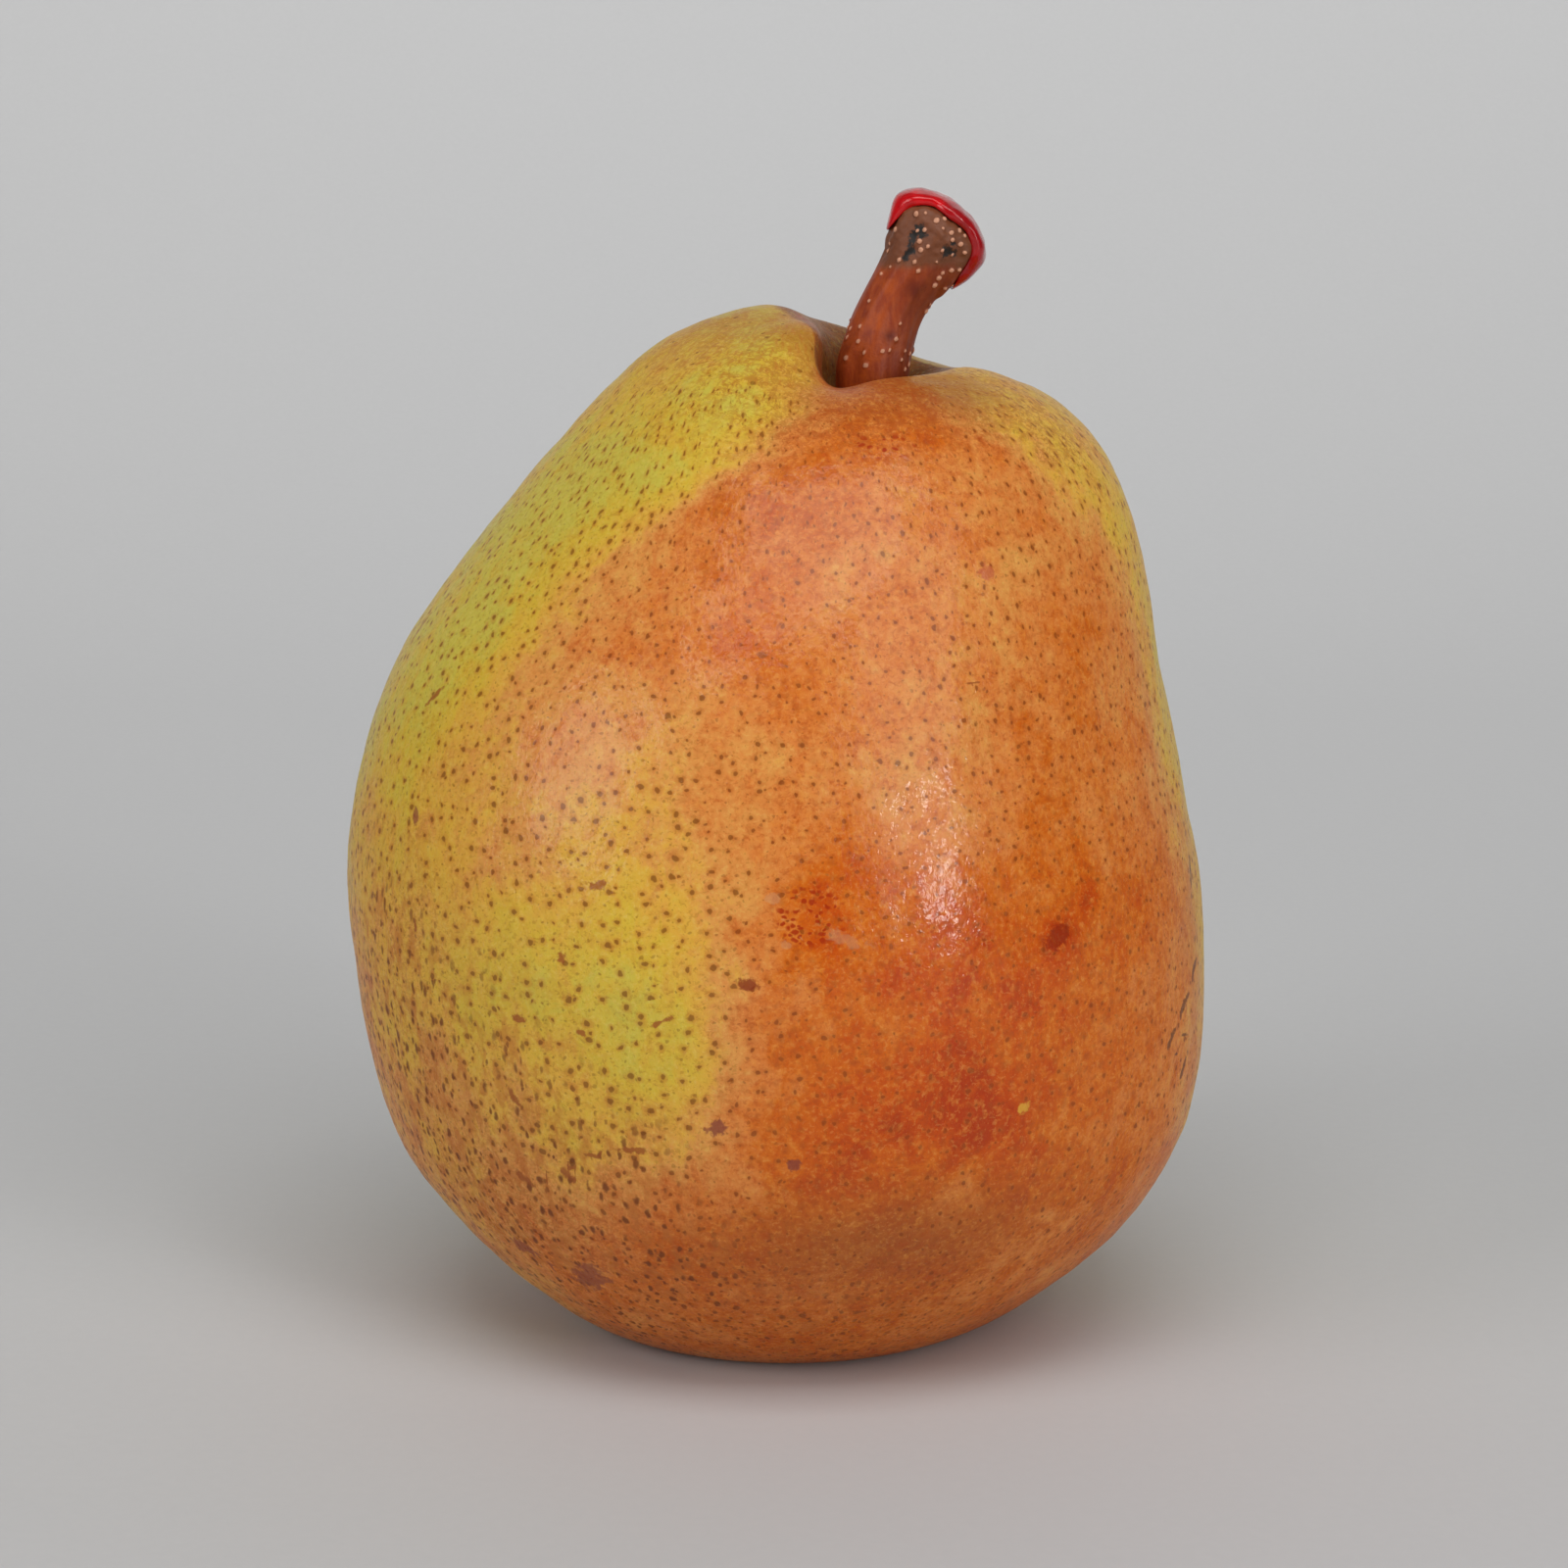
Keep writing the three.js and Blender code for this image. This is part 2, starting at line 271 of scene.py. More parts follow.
# Single marks: place, half length and half width in mm, lean in degrees from level, and kind.
MARKS = [
    (("front", -30.1, 61.8), 1.5, 0.28, 43, "rust"),
    (("front", -31.6, 51.8), 0.95, 0.5, 105, "purple"),
    (("front", -2.4, 41.3), 1.15, 0.55, -8, "eye"),
    (("front", 5.6, 45.0), 2.0, 0.55, -22, "pale"),
    (("front", -0.3, 48.4), 0.7, 0.45, 10, "pale"),
    (("front", 0.8, 44.6), 0.4, 0.35, 0, "pale"),
    (("front", 24.1, 43.2), 1.5, 1.0, 30, "red"),
    (("front", 21.3, 28.7), 0.7, 0.5, 20, "yellow"),
    (("front", -5.1, 28.5), 0.95, 0.75, 20, "scab"),
    (("front", 1.6, 25.2), 0.6, 0.6, 0, "scab"),
    (("front", -15.2, 48.9), 1.1, 0.42, 8, "rust"),
    (("front", -18.2, 42.5), 0.5, 0.5, 0, "rust"),
    (("front", -22.0, 36.5), 0.75, 0.4, -6, "rust"),
    (("front", -16.6, 36.1), 0.5, 0.34, -15, "rust"),
    (("front", -22.5, 28.9), 0.95, 0.42, -50, "rust"),
    (("front", -18.0, 22.6), 0.8, 0.45, -35, "rust"),
    (("front", -22.0, 21.3), 1.2, 0.4, -30, "rust"),
    (("front", -15.5, 24.8), 1.3, 0.22, -5, "rust"),
    (("front", -12.2, 25.9), 1.5, 0.3, 3, "rust"),
    (("front", -9.7, 37.7), 1.15, 0.24, 27, "rust"),
    (("front", -31.6, 42.6), 0.8, 0.25, 100, "rust"),
    (("front", 16.7, 65.1), 1.0, 0.10, 0, "rust"),
    (("front", 17.9, 73.8), 0.8, 0.7, 0, "blush"),
    (("front", -16.4, 11.5), 2.4, 1.5, 25, "purple"),
    (("front", -22.4, 13.2), 1.5, 0.8, -30, "purple"),
    (("side", 344, 44.2), 1.7, 0.42, 60, "scar"),
    (("side", 341, 35.6), 1.6, 0.42, 36, "scar"),
    (("side", 336, 33.0), 1.5, 0.51, 35, "scar"),
    (("side", 331.5, 30.6), 1.2, 0.38, 40, "scar"),
    (("side", 337, 27.0), 1.4, 0.38, 52, "scar"),
    (("front", -1.2, 68.0), 0.45, 0.3, 0, "rust"),
    (("side", 190, 66), 1.6, 0.3, 70, "rust"),
    (("side", 176, 40), 1.2, 0.8, 15, "purple"),
    (("side", 160, 58), 0.8, 0.7, 0, "rust"),
    (("side", 148, 30), 1.8, 0.3, 10, "rust"),
    (("side", 130, 70), 1.1, 0.5, 35, "rust"),
    (("side", 112, 45), 1.4, 1.0, 80, "purple"),
    (("side", 95, 62), 0.9, 0.6, 0, "rust"),
    (("side", 80, 28), 2.0, 0.3, -20, "rust"),
    (("side", 66, 50), 0.9, 0.5, 30, "rust"),
    (("side", 44, 66), 1.3, 0.4, 60, "rust"),
    (("side", 30, 36), 1.0, 0.9, 0, "red"),
    (("side", 12, 52), 1.5, 0.25, 85, "rust"),
    (("side", 2, 28), 1.1, 0.5, 20, "rust"),
]

# What each kind of mark looks like: its colour, and how much it covers.
MARK_TONES = {
    "rust": (rgb(158, 82, 34), 0.85),
    "purple": (rgb(146, 76, 56), 0.75),
    "eye": (rgb(136, 50, 24), 0.85),
    "pale": (rgb(200, 160, 118), 0.3),
    "red": (rgb(146, 40, 8), 0.8),
    "scar": (rgb(112, 66, 40), 0.85),
    "yellow": (rgb(226, 170, 60), 0.8),
    "scab": (rgb(132, 62, 52), 0.8),
    "blush": (rgb(190, 92, 60), 0.7),
}

OUTSIDE = 90  # far enough from the pear's axis to be outside it, in mm


def skin_place(seeker, place):
    """The point on the skin, in mm, at a place given from the front or by azimuth."""
    kind, first, height = place
    if kind == "front":
        origin, heading = Vector((first, -OUTSIDE, height)), Vector((0, 1, 0))
    else:
        turn = math.radians(first)
        outward = Vector((math.cos(turn), math.sin(turn), 0))
        origin, heading = Vector((AXIS_X, 0, height)) + outward * OUTSIDE, -outward
    hit = seeker.ray_cast(origin * MM, heading)[0]
    return np.array(hit if hit is not None else origin * MM) / MM


def sum_of(patches, points, seeker):
    """What the patches add up to at each point."""
    total = np.zeros(len(points))
    for place, wide, tall, strength in patches:
        total += strength * bell(points, skin_place(seeker, place), wide, tall)
    return total


def beyond(line, azimuth, height):
    """0 before a line round the pear and 1 past it."""
    heights, turns, widths = zip(*line)
    middle = np.interp(height, heights, turns)
    width = np.interp(height, heights, widths)
    return ease(azimuth, middle - width, middle + width)


def warmth_at(points, azimuth, seeker):
    """How warm the skin's colour is at each point, from 0 to 1."""
    height = points[:, 2]
    warmth = TAN_STEP * beyond(TAN_LINE, azimuth, height)
    warmth += ORANGE_STEP * beyond(ORANGE_LINE, azimuth, height)
    warmth += YELLOW_STEP * beyond(YELLOW_LINE, azimuth, height)
    warmth += sum_of(WARMTH_PATCHES, points, seeker)
    return (warmth - COOLEST) / WARMTH_RANGE


def speckle_at(points, azimuth, seeker):
    """How streaked the skin is: most low on the left side, and some round the foot."""
    height = points[:, 2]
    off_left = np.abs((azimuth - 200 + 180) % 360 - 180)
    left_side = (1 - ease(off_left, 10, 62)) * (1 - ease(height, 22, 64))
    lower_left = bell(points, skin_place(seeker, ("front", -22, 20)), 18, 13)
    return np.maximum(left_side, 0.9 * lower_left) + 0.4 * (1 - ease(height, 8, 24))


def cavity_at(points, normals):
    """1 on the wall of the cavity round the stem, where the skin faces the stem or is close to it. The
    material paints the skin dark brown there, partly russet and partly painted shade of the hollow.
    """
    toward = np.array(STEM_FOOT) - points[:, :2]
    away = np.linalg.norm(toward, axis=1)
    facing = (normals[:, :2] * toward).sum(axis=1) / np.maximum(away, 0.1)
    wall = ease(facing, -0.05, 0.35) * (1 - ease(away, 11, 16))
    on_crown = ease(points[:, 2], 78, 82)
    return np.maximum(wall, 1 - ease(away, 6, 8)) * on_crown


def zone_masks(points, normals, seeker):
    """What the skin's material is told about each point."""
    azimuth = np.degrees(np.arctan2(points[:, 1], points[:, 0] - AXIS_X))
    azimuth = (azimuth - FIRST_AZIMUTH) % 360 + FIRST_AZIMUTH
    height = points[:, 2]
    return {
        "warmth": warmth_at(points, azimuth, seeker),
        # the shade mask also grows towards the foot: painted shade where the skin faces down
        "shade": sum_of(BROWN_AND_SHADE_PATCHES, points, seeker) + 0.3 * (1 - ease(height, 1, 18)),
        "speckle": speckle_at(points, azimuth, seeker),
        "cavity": cavity_at(points, normals),
        "freckles": sum_of(FRECKLE_PATCHES, points, seeker),
        "russet": 0.2 + sum_of(RUSSET_PATCHES, points, seeker) + 0.35 * ease(height, 82, 93),
    }


MARK_ROOM = (1.3, 1.1)  # a mark's vertices are within so many half lengths, and so many mm more
FAR_OUTSIDE = (9.0, 9.0, 0.0)  # what a vertex away from all marks says of its place in one


def store_marks(piece, points, seeker):
    """For the vertices round each mark: where they are in the mark, in half sizes of it, and its
    colour. The third number is 1 near a mark, where the first two can be used."""
    places = np.tile(FAR_OUTSIDE, (len(points), 1))
    tones = np.zeros((len(points), 4))
    for place, long, short, lean, kind in MARKS:
        centre = skin_place(seeker, place)
        outward = centre * (1, 1, 0) - (AXIS_X, 0, 0)
        outward /= np.linalg.norm(outward)
        level = np.array((-outward[1], outward[0], 0))
        turn = math.radians(lean)
        along = math.cos(turn) * level + math.sin(turn) * np.array((0, 0, 1))
        across = -math.sin(turn) * level + math.cos(turn) * np.array((0, 0, 1))
        offset = points - centre
        near = np.linalg.norm(offset, axis=1) < long * MARK_ROOM[0] + MARK_ROOM[1]
        places[near] = np.stack(
            (offset[near] @ along / long, offset[near] @ across / short, np.ones(near.sum())), 1
        )
        colour, cover = MARK_TONES[kind]
        tones[near] = (*colour[:3], cover)
    place_in_mark = piece.data.attributes.new("mark", "FLOAT_VECTOR", "POINT")
    place_in_mark.data.foreach_set("vector", places.astype(np.float32).ravel())
    tone = piece.data.attributes.new("mark_tone", "FLOAT_COLOR", "POINT")
    tone.data.foreach_set("color", tones.astype(np.float32).ravel())


# ---------------------------------------------------------------- node helpers
class Nodes:
    """Short ways to build a material's node tree."""

    def __init__(self, name):
        self.material = bpy.data.materials.new(name)
        self.material.use_nodes = True
        self.tree = self.material.node_tree
        self.tree.nodes.clear()
        self.output = self.add("ShaderNodeOutputMaterial")
        self.shader = self.add("ShaderNodeBsdfPrincipled")
        self.link(self.shader.outputs[0], self.output.inputs["Surface"])

    def add(self, kind, **settings):
        node = self.tree.nodes.new(kind)
        for key, value in settings.items():
            setattr(node, key, value)
        return node

    def link(self, source, target):
        self.tree.links.new(source, target)

    def put(self, value, socket):
        """Links a socket, or sets a plain value."""
        if isinstance(value, bpy.types.NodeSocket):
            self.link(value, socket)
        else:
            socket.default_value = value

    def math(self, operation, a, b=0.0, c=0.0):
        node = self.add("ShaderNodeMath", operation=operation)
        for value, socket in zip((a, b, c), node.inputs):
            self.put(value, socket)
        return node.outputs[0]

    def length(self, a, b):
        """How long a step of a one way and b across it is."""
        squares = self.math("ADD", self.math("MULTIPLY", a, a), self.math("MULTIPLY", b, b))
        return self.math("SQRT", squares)

    def vector_math(self, operation, vector, amounts):
        """The vector with fixed amounts added or multiplied in."""
        node = self.add("ShaderNodeVectorMath", operation=operation)
        self.link(vector, node.inputs[0])
        node.inputs[1].default_value = amounts
        return node.outputs[0]

    def split(self, vector):
        node = self.add("ShaderNodeSeparateXYZ")
        self.link(vector, node.inputs[0])
        return node.outputs

    def split_colour(self, colour):
        node = self.add("ShaderNodeSeparateColor")
        self.link(colour, node.inputs[0])
        return node.outputs

    def attribute(self, name):
        return self.add("ShaderNodeAttribute", attribute_name=name).outputs["Fac"]

    def coordinates(self):
        return self.add("ShaderNodeTexCoord").outputs["Object"]

    def flat_vector(self, x, y):
        node = self.add("ShaderNodeCombineXYZ")
        self.link(x, node.inputs[0])
        self.link(y, node.inputs[1])
        return node.outputs[0]

    def noise(self, vector, size_mm, detail, rough, distort=0.0):
        """Noise with features of about that size, from 0 to 1."""
        node = self.add("ShaderNodeTexNoise")
        self.put(vector, node.inputs["Vector"])
        node.inputs["Scale"].default_value = 1 / (size_mm * MM)
        node.inputs["Detail"].default_value = detail
        node.inputs["Roughness"].default_value = rough
        node.inputs["Distortion"].default_value = distort
        return node.outputs[0]

    def cells(self, vector, size_mm, dimensions="3D", randomness=0.9):
        """Cells of about that size: their colours, and the distance from the middle of each."""
        node = self.add("ShaderNodeTexVoronoi", voronoi_dimensions=dimensions, feature="F1")
        self.put(vector, node.inputs["Vector"])
        node.inputs["Scale"].default_value = 1 / (size_mm * MM)
        node.inputs["Randomness"].default_value = randomness
        return node

    def ramp(self, value, low, high, to_low=0.0, to_high=1.0):
        """A smooth step from to_low, below low, to to_high, above high."""
        node = self.add("ShaderNodeMapRange", interpolation_type="SMOOTHSTEP")
        for item, socket in zip((value, low, high, to_low, to_high), node.inputs):
            self.put(item, socket)
        return node.outputs[0]

    def mix(self, amount, a, b):
        """From colour a to colour b by the amount."""
        node = self.add("ShaderNodeMix", data_type="RGBA", blend_type="MIX")
        self.put(amount, node.inputs["Factor"])
        self.put(a, node.inputs["A"])
        self.put(b, node.inputs["B"])
        return node.outputs["Result"]

    def bump(self, height, depth_mm, strength, normal=None):
        """A normal with the height drawn as relief of that depth, on top of any other normal."""
        node = self.add("ShaderNodeBump")
        node.inputs["Strength"].default_value = strength
        node.inputs["Distance"].default_value = depth_mm * MM
        self.put(height, node.inputs["Height"])
        if normal is not None:
            self.link(normal, node.inputs["Normal"])
        return node.outputs[0]


# ---------------------------------------------------------------- the skin's material
# The skin's colour by warmth: where on the 0 to 1 scale of the attribute, and the colour.
WARMTH_TONES = [
    (0.03, rgb(205, 188, 72)),
    (0.16, rgb(217, 181, 58)),
    (0.34, rgb(226, 170, 66)),
    (0.46, rgb(224, 152, 76)),
    (0.60, rgb(220, 130, 60)),
    (0.74, rgb(212, 106, 22)),
    (0.86, rgb(202, 80, 8)),
    (0.96, rgb(182, 56, 6)),
]

# The radius of the smallest, as a share of the one asked for, and the most that chance adds to it.
SMALLEST_PORE, PORE_SPREAD = 0.6, 0.6
SMALLEST_SPOT, SPOT_SPREAD = 0.55, 0.6


def spots(n, vector, size_mm, radius_mm, low, high):
    """Round spots of random size from a field of cells: 1 inside, fading from low to high, both in
    radiuses."""
    node = n.cells(vector, size_mm)
    chance = n.split_colour(node.outputs["Color"])
    reach = n.math("MULTIPLY_ADD", chance[0], SPOT_SPREAD, SMALLEST_SPOT)
    reach = n.math("MULTIPLY", reach, radius_mm / size_mm)
    distance = n.math("DIVIDE", node.outputs["Distance"], reach)
    return n.ramp(distance, low, high, 1.0, 0.0)


def pores(n, plane, size_mm, radius_mm, share, low, high, shift=0.0):
    """Round spots spread evenly, one to a cell of the flat map of the skin, in a share of the cells.
    Also gives the distance from each one's middle in radiuses."""
    moved = n.vector_math("ADD", plane, (shift * MM, shift * MM, 0))
    node = n.cells(moved, size_mm, "2D", 0.94)
    chance = n.split_colour(node.outputs["Color"])
    reach = n.math("MULTIPLY_ADD", chance[0], PORE_SPREAD, SMALLEST_PORE)
    reach = n.math("MULTIPLY", reach, n.math("DIVIDE", radius_mm, size_mm))
    reach = n.math("MULTIPLY", reach, n.math("LESS_THAN", chance[1], share))
    distance = n.math("DIVIDE", node.outputs["Distance"], n.math("MAXIMUM", reach, 0.0001))
    return n.ramp(distance, low, high, 1.0, 0.0), distance


# The flat map of the skin: the height that rises and falls are counted from, the radiuses that turn
# the angles round and up into lengths, and where it isn't used, all in mm and degrees.
MAP_HEIGHT, MAP_GIRTH_RADIUS, MAP_RISE_RADIUS = 45, 38, 42
MAP_POLE_RADIUS, MAP_SEAM_TURN = 15, 174


def skin_map(n, vector):
    """The skin as a flat map in metres: round the girth, and up by the angle from the middle. Also
    where the map can't be used: by the poles, and at its seam up the back."""
    x, y, z = n.split(vector)
    x = n.math("SUBTRACT", x, AXIS_X * MM)
    radius = n.length(x, y)
    turn = n.math("ARCTAN2", x, n.math("MULTIPLY", y, -1.0))
    rise = n.math("ARCTAN2", n.math("SUBTRACT", z, MAP_HEIGHT * MM), radius)
    round_girth = n.math("MULTIPLY", turn, MAP_GIRTH_RADIUS * MM)
    plane = n.flat_vector(round_girth, n.math("MULTIPLY", rise, MAP_RISE_RADIUS * MM))
    pole = n.math("LESS_THAN", radius, MAP_POLE_RADIUS * MM)
    seam = n.math("GREATER_THAN", n.math("ABSOLUTE", turn), math.radians(MAP_SEAM_TURN))
    return plane, n.math("MAXIMUM", pole, seam)


def stretched(n, vector, amount):
    """The vector with heights shortened, so that a pattern drawn with it is drawn out upward."""
    return n.vector_math("MULTIPLY", vector, (1, 1, 1 / amount))


def wobbly(n, vector, size_mm, reach_mm):
    """The vector shifted about a little, so that what is drawn with it gets an uneven outline."""
    noise = n.add("ShaderNodeTexNoise")
    n.link(vector, noise.inputs["Vector"])
    noise.inputs["Scale"].default_value = 1 / (size_mm * MM)
    noise.inputs["Detail"].default_value = 1
    shift = n.add("ShaderNodeVectorMath", operation="MULTIPLY_ADD")
    n.link(noise.outputs["Color"], shift.inputs[0])
    shift.inputs[1].default_value = (reach_mm * MM,) * 3
    n.link(vector, shift.inputs[2])
    return shift.outputs[0]


def zone_colour(n, warmth, uneven):
    """The ground colour by warmth. It is browner in the brown patches, with painted shade low on the
    front, at the cavity's rim and towards the foot. It is dark brown in the stem's cavity, partly
    russet and partly painted shade of the hollow.
    """
    ramp = n.add("ShaderNodeValToRGB")
    n.link(warmth, ramp.inputs[0])
    stops = ramp.color_ramp.elements
    for index, (position, tone) in enumerate(WARMTH_TONES):
        stop = stops[index] if index < 2 else stops.new(position)
        stop.position = position
        stop.color = tone
    # brown patches and painted shade: low on the front, at the cavity's rim and towards the foot the
    # browning stands for shade
    shade = n.ramp(n.math("ADD", uneven, n.attribute("shade")), 0.0, 1.2, 0.0, 0.85)
    colour = n.mix(shade, ramp.outputs[0], rgb(160, 92, 42))
    # the cavity's dark brown is partly russet and partly painted shade of the hollow
    cavity = n.ramp(n.math("ADD", n.attribute("cavity"), uneven), 0.15, 0.7, 0, 0.92)
    return n.mix(cavity, colour, rgb(126, 74, 48))


def mottled(n, colour, orange, mottle):
    """Pale patches and darker ones, like watercolour, strongest on the orange."""
    pale = n.math("MULTIPLY", n.ramp(mottle, 0.51, 0.68), n.ramp(orange, 0, 1, 0.18, 0.32))
    dark = n.math("MULTIPLY", n.ramp(mottle, 0.49, 0.33), n.ramp(orange, 0, 1, 0.16, 0.38))
    colour = n.mix(pale, colour, n.mix(orange, rgb(226, 190, 96), rgb(232, 152, 62)))
    return n.mix(dark, colour, n.mix(orange, rgb(190, 122, 34), rgb(184, 80, 24)))


def flecked(n, colour, orange, loose):
    """Fine flecks and nicks, crisper than the mottling."""
    fine = n.noise(stretched(n, loose, 0.8), 0.42, 2, 0.6)
    fleck = n.ramp(fine, 0.57, 0.65, 0.0, 0.22)
    nick = n.ramp(fine, 0.43, 0.35, 0.0, 0.32)
    colour = n.mix(fleck, colour, n.mix(orange, rgb(230, 204, 110), rgb(238, 172, 92)))
    return n.mix(nick, colour, n.mix(orange, rgb(160, 106, 28), rgb(172, 66, 14)))


def russeted(n, colour, orange, loose, cloud):
    """Russet: crisp small patches, wider than tall, and a fine net of short wrinkles."""
    threads = n.noise(loose, 1.1, 3, 0.6, 0.8)
    thread = n.ramp(n.math("ABSOLUTE", n.math("SUBTRACT", threads, 0.5)), 0.012, 0.05, 1.0, 0.0)
    flake = n.ramp(n.noise(stretched(n, loose, 0.7), 0.9, 5, 0.7), 0.51, 0.57)
    patchy = n.ramp(n.math("ADD", n.attribute("russet"), n.math("MULTIPLY", cloud, 1.6)), 0.1, 0.9)
    russet = n.math("MULTIPLY", patchy, n.math("MAXIMUM", thread, flake))
    tone = n.mix(orange, rgb(174, 108, 36), rgb(172, 74, 22))
    return n.mix(n.math("MULTIPLY", russet, 0.6), colour, tone)


def streaked(n, colour, drift, loose):
    """Smudges and upright streaks where the skin is speckled."""
    speckle = n.math("ADD", n.attribute("speckle"), n.math("MULTIPLY", drift, 0.8))
    speckle = n.ramp(speckle, 0.12, 0.7)
    smudge = n.ramp(n.noise(stretched(n, loose, 2.0), 1.5, 4, 0.6), 0.48, 0.64)
    smudge = n.math("MULTIPLY", smudge, n.math("MULTIPLY", speckle, 0.6))
    colour = n.mix(smudge, colour, rgb(188, 106, 42))
    streak = spots(n, stretched(n, loose, 1.9), 0.95, 0.33, 0.5, 1.1)
    streak = n.math("MULTIPLY", streak, n.math("MULTIPLY", speckle, 0.85))
    return n.mix(streak, colour, rgb(116, 56, 20))


def all_pores(n, orange, loose, flat, unmapped):
    """The large and the small pores, from the flat map where it can be used and from cells in space
    elsewhere. Also gives the distance from each large one's middle in radiuses."""
    radius = n.ramp(orange, 0, 1, 0.29, 0.23)
    large, distance = pores(n, flat, 1.8, radius, n.ramp(orange, 0, 1, 0.9, 0.8), 0.6, 1.0)
    small, _ = pores(n, flat, 1.1, 0.16, n.ramp(orange, 0, 1, 0.55, 0.4), 0.5, 1.1, 5.0)
    mapped = n.math("MAXIMUM", large, n.math("MULTIPLY", small, 0.6))
    mapped = n.math("MULTIPLY", mapped, n.math("SUBTRACT", 1.0, unmapped))
    elsewhere = n.math("MULTIPLY", spots(n, loose, 1.5, 0.3, 0.5, 1.0), unmapped)
    return n.math("ADD", mapped, elsewhere), distance


def pored(n, colour, warmth, orange, drift, loose, flat, unmapped):
    """Lenticels, the small corky pores: dark on the yellow, softer and redder on the orange. Their
    halos and some blurred ones lie under the streaks, and the pores themselves over them."""
    pore, distance = all_pores(n, orange, loose, flat, unmapped)
    netted = n.ramp(n.attribute("russet"), 0.55, 1.0, 1.0, 0.65)
    fading = n.math("MULTIPLY", n.ramp(warmth, 0.55, 0.85, 1.0, 0.72), netted)
    halo = n.math("MULTIPLY", fading, n.ramp(distance, 0.9, 2.3, 0.36, 0.0))
    colour = n.mix(halo, colour, rgb(186, 100, 36))
    blur, _ = pores(n, flat, 1.35, 0.48, 0.7, 0.0, 1.15, 9.0)
    blur = n.math("MULTIPLY", blur, n.ramp(warmth, 0.42, 0.75, 0.1, 0.36))
    colour = n.mix(blur, colour, rgb(160, 78, 26))
    colour = streaked(n, colour, drift, loose)
    tone = n.mix(orange, rgb(116, 60, 10), rgb(120, 48, 6))
    return n.mix(n.math("MULTIPLY", pore, n.math("MULTIPLY", fading, 0.68)), colour, tone)


def freckled(n, colour, loose):
    """Clusters of dark red freckles."""
    freckle = spots(n, stretched(n, loose, 0.7), 0.72, 0.36, 0.6, 1.1)
    freckle = n.math("MULTIPLY", freckle, n.ramp(n.attribute("freckles"), 0.12, 0.4, 0, 0.92))
    return n.mix(freckle, colour, rgb(168, 48, 6))


def marked(n, colour, uneven):
    """The single marks, each with an uneven rim."""
    u, v, near = n.split(n.add("ShaderNodeAttribute", attribute_name="mark").outputs["Vector"])
    distance = n.math("MULTIPLY_ADD", uneven, 2.6, n.length(u, v))
    inside = n.ramp(distance, 0.6, 1.15, 1.0, 0.0)
    inside = n.math("MULTIPLY", inside, n.math("GREATER_THAN", near, 0.99))
    tone = n.add("ShaderNodeAttribute", attribute_name="mark_tone")
    cover = n.math("MULTIPLY", inside, tone.outputs["Alpha"])
    return n.mix(cover, colour, tone.outputs["Color"])


def skin_surface(n, place, loose, flat):
    """A waxy, dimpled surface under a thin gloss. Fine wrinkles break the gloss into glints, and it
    fades where the skin turns away."""
    grain = n.noise(stretched(n, place, 1.8), 0.40, 2, 0.6)
    pit, _ = pores(n, flat, 1.9, 0.26, 0.8, 0.45, 1.0)
    relief = n.bump(n.noise(place, 3.2, 1, 0.5), 0.22, 0.6)
    relief = n.bump(grain, 0.07, 0.85, relief)
    relief = n.bump(pit, 0.05, 0.4, relief)
    wrinkle = n.noise(stretched(n, loose, 1.5), 0.65, 2, 0.5, 0.6)
    facing = n.add("ShaderNodeLayerWeight").outputs["Facing"]
    inputs = n.shader.inputs
    n.link(relief, inputs["Normal"])
    n.link(n.ramp(grain, 0.25, 0.75, 0.26, 0.42), inputs["Roughness"])
    n.link(n.ramp(facing, 0.2, 0.65, 0.14, 0.04), inputs["Specular IOR Level"])
    inputs["Specular Tint"].default_value = (1.0, 0.95, 0.88, 1.0)
    n.link(n.bump(wrinkle, 0.07, 1.0), inputs["Coat Normal"])
    n.link(n.ramp(facing, 0.2, 0.65, 0.42, 0.08), inputs["Coat Weight"])
    inputs["Coat Roughness"].default_value = 0.05
    inputs["Coat IOR"].default_value = 1.4


def skin_material():
    n = Nodes("pear_skin")
    place = n.coordinates()
    loose = wobbly(n, wobbly(n, place, 0.9, 0.5), 0.3, 0.16)
    flat, unmapped = skin_map(n, loose)
    # Noise that breaks up the edges of the colour zones, from large drifts to small clouds.
    drift = n.math("SUBTRACT", n.noise(place, 8, 4, 0.6), 0.5)
    cloud = n.math("SUBTRACT", n.noise(stretched(n, place, 1.3), 2.8, 6, 0.72, 0.5), 0.5)
    uneven = n.math("MULTIPLY_ADD", drift, 0.5, n.math("MULTIPLY", cloud, 0.58))
    mottle = n.noise(loose, 0.8, 3, 0.65)
    warmth = n.math("ADD", n.attribute("warmth"), uneven)
    orange = n.ramp(warmth, 0.42, 0.62)
    colour = zone_colour(n, warmth, uneven)
    colour = mottled(n, colour, orange, mottle)
    colour = flecked(n, colour, orange, loose)
    colour = russeted(n, colour, orange, loose, cloud)
    colour = pored(n, colour, warmth, orange, drift, loose, flat, unmapped)
    colour = freckled(n, colour, loose)
    colour = marked(n, colour, n.math("SUBTRACT", mottle, 0.5))
    n.link(colour, n.shader.inputs["Base Color"])
    skin_surface(n, place, loose, flat)
    return n.material


DIMPLES = [(9, 0.07, 51), (3.5, 0.035, 52)]  # size and depth in mm, and the seed
SKIN_SUNK = 0.12  # how far the skin is drawn in to leave room for the dimples' rims, in mm


